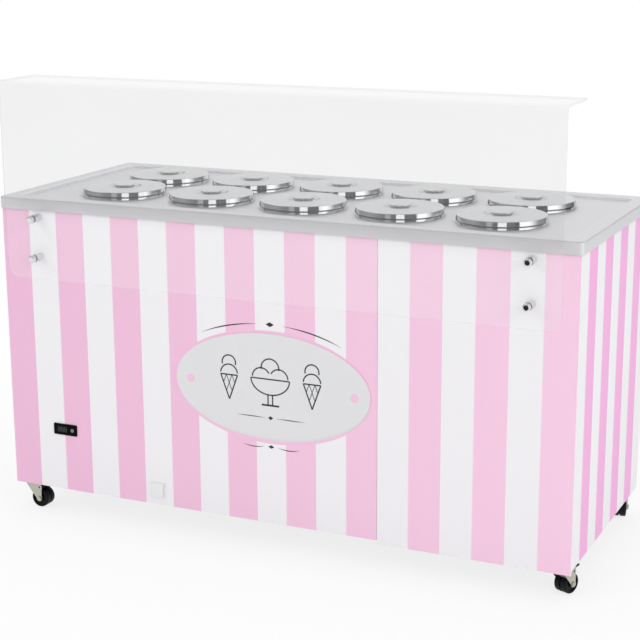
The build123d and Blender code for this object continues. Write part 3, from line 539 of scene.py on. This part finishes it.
class Inlay:
    """Flat shapes in one upright plane that faces the front, each raised a little from it.

    A band has four corners where it is cut across. A tapered line keeps a share of its width at its ends.
    """

    corners = 4
    end_share = 0.12

    def __init__(self, plane_y, rise):
        self.back = plane_y
        self.front = plane_y - rise
        self.points = []
        self.faces = []

    def add(self, outline):
        """A filled outline of (x, z) points, as a thin closed plate on the plane."""
        first = len(self.points)
        count = len(outline)
        self.points += [(x, self.front, z) for x, z in outline]
        self.points += [(x, self.back, z) for x, z in outline]
        self.faces.append([first + i for i in range(count)])
        self.faces.append([first + count + i for i in reversed(range(count))])
        for i in range(count):
            after = (i + 1) % count
            self.faces.append([first + i, first + count + i, first + count + after, first + after])

    def section(self, left, right):
        """The corners of one cut across a band, between two (x, z) points; gives the first one's number."""
        first = len(self.points)
        for (x, z), y in ((left, self.front), (right, self.front), (right, self.back), (left, self.back)):
            self.points.append((x, y, z))
        return first

    def join(self, start, following):
        """The faces of a band from one cut to the next."""
        for corner in range(self.corners):
            after = (corner + 1) % self.corners
            self.faces.append([start + corner, following + corner, following + after, start + after])

    def stroke(self, path, width, taper=False):
        """A line of the given width along a path, thinner towards its ends where it tapers."""
        last = len(path) - 1
        cuts = []
        for i, point in enumerate(path):
            before = Vector(path[max(i - 1, 0)])
            following = Vector(path[min(i + 1, last)])
            along = (following - before).normalized()
            across = Vector((-along.y, along.x))
            half = width / 2
            if taper:
                half *= max(sin(pi * i / last), self.end_share)
            cuts.append(self.section(Vector(point) + across * half, Vector(point) - across * half))
        for start, following in zip(cuts, cuts[1:]):
            self.join(start, following)
        self.faces.append([cuts[0] + corner for corner in range(self.corners)])
        self.faces.append([cuts[-1] + corner for corner in reversed(range(self.corners))])

    def ring(self, outer, inner):
        """A closed band between two outlines that have as many points as each other."""
        cuts = [self.section(outside, inside) for outside, inside in zip(outer, inner)]
        for start, following in zip(cuts, cuts[1:] + cuts[:1]):
            self.join(start, following)

    def build(self, name, body, material):
        """One piece from all the shapes, which rides on a body."""
        mesh = bpy.data.meshes.new(name)
        mesh.from_pydata(self.points, [], self.faces)
        shell = bmesh.new()
        shell.from_mesh(mesh)
        bmesh.ops.recalc_face_normals(shell, faces=shell.faces)
        shell.to_mesh(mesh)
        shell.free()
        mesh.materials.append(material)
        piece = bpy.data.objects.new(name, mesh)
        bpy.context.collection.objects.link(piece)
        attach(piece, body)


def arc(centre_x, centre_z, radius_x, radius_z, start, end, steps=28):
    """Points along an oval arc, with angles in degrees from +X towards +Z."""
    turn = [radians(start + (end - start) * i / steps) for i in range(steps + 1)]
    return [(centre_x + radius_x * cos(a), centre_z + radius_z * sin(a)) for a in turn]


def diamond(centre_x, centre_z, half_width, half_height):
    """The four points of a diamond that stands on one corner."""
    return [
        (centre_x + half_width, centre_z),
        (centre_x, centre_z + half_height),
        (centre_x - half_width, centre_z),
        (centre_x, centre_z - half_height),
    ]


sign_line = 3.2 * millimetre
sign_rise = 0.3 * millimetre


def draw_cone(inlay, x, z, half_width, height):
    """A wafer cone with a lattice and two scoops."""
    upper_z = z + half_width * 1.35
    upper_scoop = half_width * 0.8
    for side in (-1, 1):
        inlay.stroke([(x + side * half_width, z), (x, z - height)], sign_line)
    inlay.stroke([(x - half_width, z), (x + half_width, z)], sign_line)
    for share in (1 / 3, 2 / 3):
        for side in (-1, 1):
            top = (x + side * half_width * (1 - 2 * share), z)
            foot = (x - side * half_width * share, z - height * (1 - share))
            inlay.stroke([top, foot], sign_line / 2)
    inlay.stroke(arc(x, z + sign_line, half_width, half_width, start=4, end=176), sign_line)
    inlay.stroke(arc(x, upper_z, upper_scoop, upper_scoop, start=-16, end=196), sign_line)


def draw_cup(inlay, x, z, half_width, height):
    """A footed cup with three scoops."""
    foot = half_width * 0.45
    foot_line = sign_line * 1.4
    stem = half_width * 0.12
    bowl = height * 0.6
    scoop = half_width * 0.46
    upper_z = z + scoop * 1.15
    inlay.stroke(arc(x, z, half_width, bowl, start=180, end=360), sign_line)
    inlay.stroke([(x - half_width, z), (x + half_width, z)], sign_line)
    for side in (-1, 1):
        inlay.stroke([(x + side * stem, z - bowl), (x + side * stem, z - height)], sign_line)
    inlay.stroke([(x - foot, z - height), (x + foot, z - height)], foot_line)
    for side in (-1, 1):
        start = 90 - side * 88
        end = 90 + side * 62
        inlay.stroke(arc(x + side * scoop, z + sign_line, scoop, scoop, start, end), sign_line)
    inlay.stroke(arc(x, upper_z, scoop, scoop, start=-8, end=188), sign_line)


def draw_sign():
    """A generic motif of a cup between two cones, over a rule with a diamond."""
    motif_z = plaque_z + 18 * millimetre
    cup_half_width = 52 * millimetre
    cup_height = 66 * millimetre
    cone_reach = 112 * millimetre
    cone_half_width = 23 * millimetre
    cone_height = 62 * millimetre
    rule_z = plaque_z - 80 * millimetre
    rule_start = 16 * millimetre
    rule_step = 4.75 * millimetre
    rule_points = 17
    rule_line = 2 * millimetre
    inlay = Inlay(plaque_face, sign_rise)
    draw_cup(inlay, plaque_x, motif_z, cup_half_width, cup_height)
    for side in (-1, 1):
        draw_cone(inlay, plaque_x + side * cone_reach, motif_z, cone_half_width, cone_height)
    for side in (-1, 1):
        rule = [(plaque_x + side * (rule_start + rule_step * i), rule_z) for i in range(rule_points)]
        inlay.stroke(rule, rule_line, taper=True)
    inlay.add(diamond(plaque_x, rule_z, half_width=7 * millimetre, half_height=5 * millimetre))
    inlay.build("sign_motif", "cabinet", MATERIALS["ink"])


def grown_oval(wider, higher, lower):
    """The plaque's outline, grown and lowered by lengths in millimetres, without its repeated end."""
    sides = 120
    half_width = plaque_half_width + wider * millimetre
    half_height = plaque_half_height + higher * millimetre
    return arc(plaque_x, plaque_z - lower * millimetre, half_width, half_height, 0, 360, sides)[:-1]


def draw_border():
    """A pale margin and a pink line printed round the oval, both widest under it."""
    edge = grown_oval(0, 0, 0)
    pale_edge = grown_oval(wider=0.3, higher=2.6, lower=2.3)
    pink_edge = grown_oval(wider=0.5, higher=10.1, lower=3.6)
    for name, look, outer, inner in (
        ("sign_margin", "margin", pale_edge, edge),
        ("sign_border", "border", pink_edge, pale_edge),
    ):
        inlay = Inlay(panel_face, sign_rise)
        inlay.ring(outer, inner)
        inlay.build(name, "cabinet", MATERIALS[look])


def draw_ornaments():
    """Thin tapered lines over and under the oval, each with a small diamond."""
    clear = 22 * millimetre
    over_width = plaque_half_width + clear
    over_height = plaque_half_height + clear
    over_line = 3 * millimetre
    under_start = 18 * millimetre
    under_step = 4.2 * millimetre
    under_steps = 14
    under_sag = 4 * millimetre
    under_line = 2.2 * millimetre
    top_z = plaque_z + over_height
    low_z = plaque_z - over_height
    inlay = Inlay(panel_face, sign_rise)
    over = arc(plaque_x, plaque_z, over_width, over_height, start=131, end=97, steps=30)
    inlay.stroke(over, over_line, taper=True)
    inlay.stroke([(2 * plaque_x - x, z) for x, z in over], over_line, taper=True)
    inlay.add(diamond(plaque_x, top_z, half_width=11 * millimetre, half_height=6 * millimetre))
    for side in (-1, 1):
        under = []
        for i in range(under_steps + 1):
            reach = under_start + under_step * i
            sag = under_sag * sin(pi * i / under_steps)
            under.append((plaque_x + side * reach, low_z - sag))
        inlay.stroke(under, under_line, taper=True)
    inlay.add(diamond(plaque_x, low_z, half_width=8 * millimetre, half_height=4.5 * millimetre))
    inlay.build("sign_ornaments", "cabinet", MATERIALS["ink"])


def draw_digits():
    """Unlit seven-segment digits on the thermostat's window."""
    digit_rise = 0.1 * millimetre
    digit_half_width = 3.2 * millimetre
    digit_half_height = 5.75 * millimetre
    digit_pitch = 9.4 * millimetre
    bar = 1.3 * millimetre
    gap = 0.5 * millimetre
    middle_x = (display_low[0] + display_high[0]) / 2
    middle_z = (display_low[2] + display_high[2]) / 2
    inlay = Inlay(display_face, digit_rise)
    for digit in (-1, 0, 1):
        x = middle_x + digit * digit_pitch
        reach = digit_half_width - gap
        for level in (-1, 0, 1):
            z = middle_z + level * digit_half_height
            inlay.stroke([(x - reach, z), (x + reach, z)], bar)
        for side in (-1, 1):
            bar_x = x + side * digit_half_width
            for half in (-1, 1):
                near = middle_z + half * gap
                far = middle_z + half * (digit_half_height - gap)
                inlay.stroke([(bar_x, near), (bar_x, far)], bar)
    inlay.build("display_digits", "cabinet", MATERIALS["segment"])


draw_sign()
draw_border()
draw_ornaments()
draw_digits()


def stage_mesh(name, corners, faces, material):
    """A stage object from corners and faces."""
    mesh = bpy.data.meshes.new(name)
    mesh.from_pydata(corners, [], faces)
    mesh.materials.append(material)
    sheet = bpy.data.objects.new(name, mesh)
    bpy.context.collection.objects.link(sheet)
    return sheet


def seen_rays(nodes):
    """1 for camera, glossy and transmission rays, which see the backdrop as white."""
    rays = nodes.node("ShaderNodeLightPath").outputs
    direct = nodes.either(rays["Is Camera Ray"], rays["Is Glossy Ray"])
    return nodes.either(direct, rays["Is Transmission Ray"])


def lay_floor():
    """A white floor that reads as the backdrop and still keeps a soft shadow near the object."""
    floor_reach = 14.0
    shadow_share = 0.22
    shadow_start = 0.9
    shadow_end = 2.0
    surface = Surface("floor_white", roughness=0.8)
    surface.colour(srgb(250, 250, 250))
    place = surface.axes()
    from_middle = surface.math("SQRT", surface.flat_dot(place, place))
    away = surface.ramp(from_middle, shadow_start, shadow_end)
    white_share = surface.multiply(seen_rays(surface), surface.spread(away, 1 - shadow_share, 1.0))
    surface.show_mix(white_share, surface.shader.outputs[0], surface.glow(strength=1.0))
    corners = [(u * floor_reach, v * floor_reach, 0) for u, v in ((-1, -1), (1, -1), (1, 1), (-1, 1))]
    stage_mesh("floor", corners, [(0, 1, 2, 3)], surface.material)


def light_world(ambient, mirrored, ceiling, ceiling_start, ceiling_end):
    """A white surround: its light for dull surfaces, its level in metal, and a darker ceiling in metal."""
    world = bpy.data.worlds.new("studio")
    bpy.context.scene.world = world
    world.use_nodes = True
    nodes = Nodes(world.node_tree)
    rays = nodes.node("ShaderNodeLightPath")
    overhead = nodes.ramp(nodes.axes("Generated")[2], ceiling_start, ceiling_end)
    in_metal = nodes.add(nodes.multiply(overhead, ceiling - mirrored), mirrored)
    dull = nodes.spread(seen_rays(nodes), ambient, 1.0)
    level = nodes.node("ShaderNodeMix")
    nodes.put(level.inputs["Factor"], rays.outputs["Is Glossy Ray"])
    nodes.put(level.inputs["A"], dull)
    nodes.put(level.inputs["B"], in_metal)
    background = nodes.tree.nodes["Background"]
    background.inputs["Color"].default_value = (1, 1, 1, 1)
    nodes.put(background.inputs["Strength"], level.outputs["Result"])


def surround_wall(name, levels, strength, reach, low, high):
    """A curved wall of light and dark upright shapes round the stage, which only metal reflects.

    The levels are pairs: a turn from the front in degrees, and how light the wall is there.
    """
    sides = 180
    start = radians(levels[0][0])
    step = radians(levels[-1][0] - levels[0][0]) / sides
    corners = []
    for side in range(sides + 1):
        turn = start + step * side
        for height in (low, high):
            corners.append((reach * sin(turn), -reach * cos(turn), height))
    faces = [(2 * side, 2 * side + 2, 2 * side + 3, 2 * side + 1) for side in range(sides)]
    surface = Surface(name)
    x, y, _ = surface.axes()
    turn_round = surface.math("ARCTAN2", x, surface.multiply(y, -1.0))
    shapes = surface.node("ShaderNodeValToRGB")
    stops = shapes.color_ramp.elements
    for stop, (_, level) in zip(stops, (levels[0], levels[-1])):
        stop.color = (level, level, level, 1)
    for degrees_round, level in levels:
        stop = stops.new(degrees_round / 360 + 0.5)
        stop.color = (level, level, level, 1)
    surface.put(shapes.inputs["Fac"], surface.add(surface.divide(turn_round, 2 * pi), 0.5))
    surface.show(surface.glow(strength, shapes.outputs["Color"]))
    wall = stage_mesh(name, corners, faces, surface.material)
    wall.visible_camera = False
    wall.visible_diffuse = False
    wall.visible_transmission = False
    wall.visible_shadow = False


def soft_lamp(name, place, target, size, power):
    """A square or oblong lamp that points at a target and that metal doesn't mirror."""
    lamp = bpy.data.lights.new(name, "AREA")
    lamp.shape = "RECTANGLE"
    lamp.size, lamp.size_y = size
    lamp.energy = power
    holder = bpy.data.objects.new(name, lamp)
    holder.location = place
    holder.rotation_euler = (Vector(target) - Vector(place)).to_track_quat("-Z", "Y").to_euler()
    holder.visible_glossy = False
    bpy.context.collection.objects.link(holder)


# How light the surround looks in metal, by its turn from the front in degrees
SURROUND = (
    (-180, 0.55), (-135, 0.55), (-100, 0.16), (-55, 0.22), (-22, 0.08), (-14, 0.06), (-12, 0.30), (1, 0.30),
    (3, 0.02), (15, 0.02), (16, 1.0), (35, 1.0), (36, 0.02), (64, 0.02), (66, 1.0), (88, 1.0), (112, 0.22),
    (145, 0.10), (165, 0.55), (180, 0.55),
)
DARK_CARD = ((-12, 0.02), (10, 0.02))
MIDDLE = (0, 0, 0.6)
RIGHT_SIDE = (0.76, 0, 0.7)

lay_floor()
light_world(ambient=0.72, mirrored=1.0, ceiling=0.5, ceiling_start=0.72, ceiling_end=0.86)
surround_wall("surround_wall", SURROUND, strength=1.8, reach=4.0, low=0.62, high=2.4)
surround_wall("surround_card", DARK_CARD, strength=1.0, reach=2.4, low=0.03, high=0.42)
soft_lamp("key", place=(-2.6, -3.4, 3.2), target=MIDDLE, size=(3.0, 2.4), power=36)
soft_lamp("fill", place=(3.6, -2.2, 2.4), target=MIDDLE, size=(2.4, 2.4), power=30)
soft_lamp("top", place=(0.2, 0.4, 3.6), target=MIDDLE, size=(3.4, 2.0), power=20)
soft_lamp("side", place=(2.6, 1.0, 1.0), target=RIGHT_SIDE, size=(1.2, 1.4), power=1.2)

# Camera at the photograph's viewing angle
camera_place = (1.6595, -3.6012, 1.5250)
camera_azimuth = radians(24.76)
camera_elevation = radians(14.13)
camera_roll = radians(-0.31)
camera_data = bpy.data.cameras.new("camera")
camera_data.sensor_width = 36.0
camera_data.lens = 89.48
camera = bpy.data.objects.new("camera", camera_data)
facing = Matrix.Rotation(camera_azimuth, 4, "Z") @ Matrix.Rotation(pi / 2 - camera_elevation, 4, "X")
camera.matrix_world = Matrix.Translation(camera_place) @ facing @ Matrix.Rotation(camera_roll, 4, "Z")
bpy.context.collection.objects.link(camera)
bpy.context.scene.camera = camera
bpy.context.scene.view_settings.view_transform = "Standard"
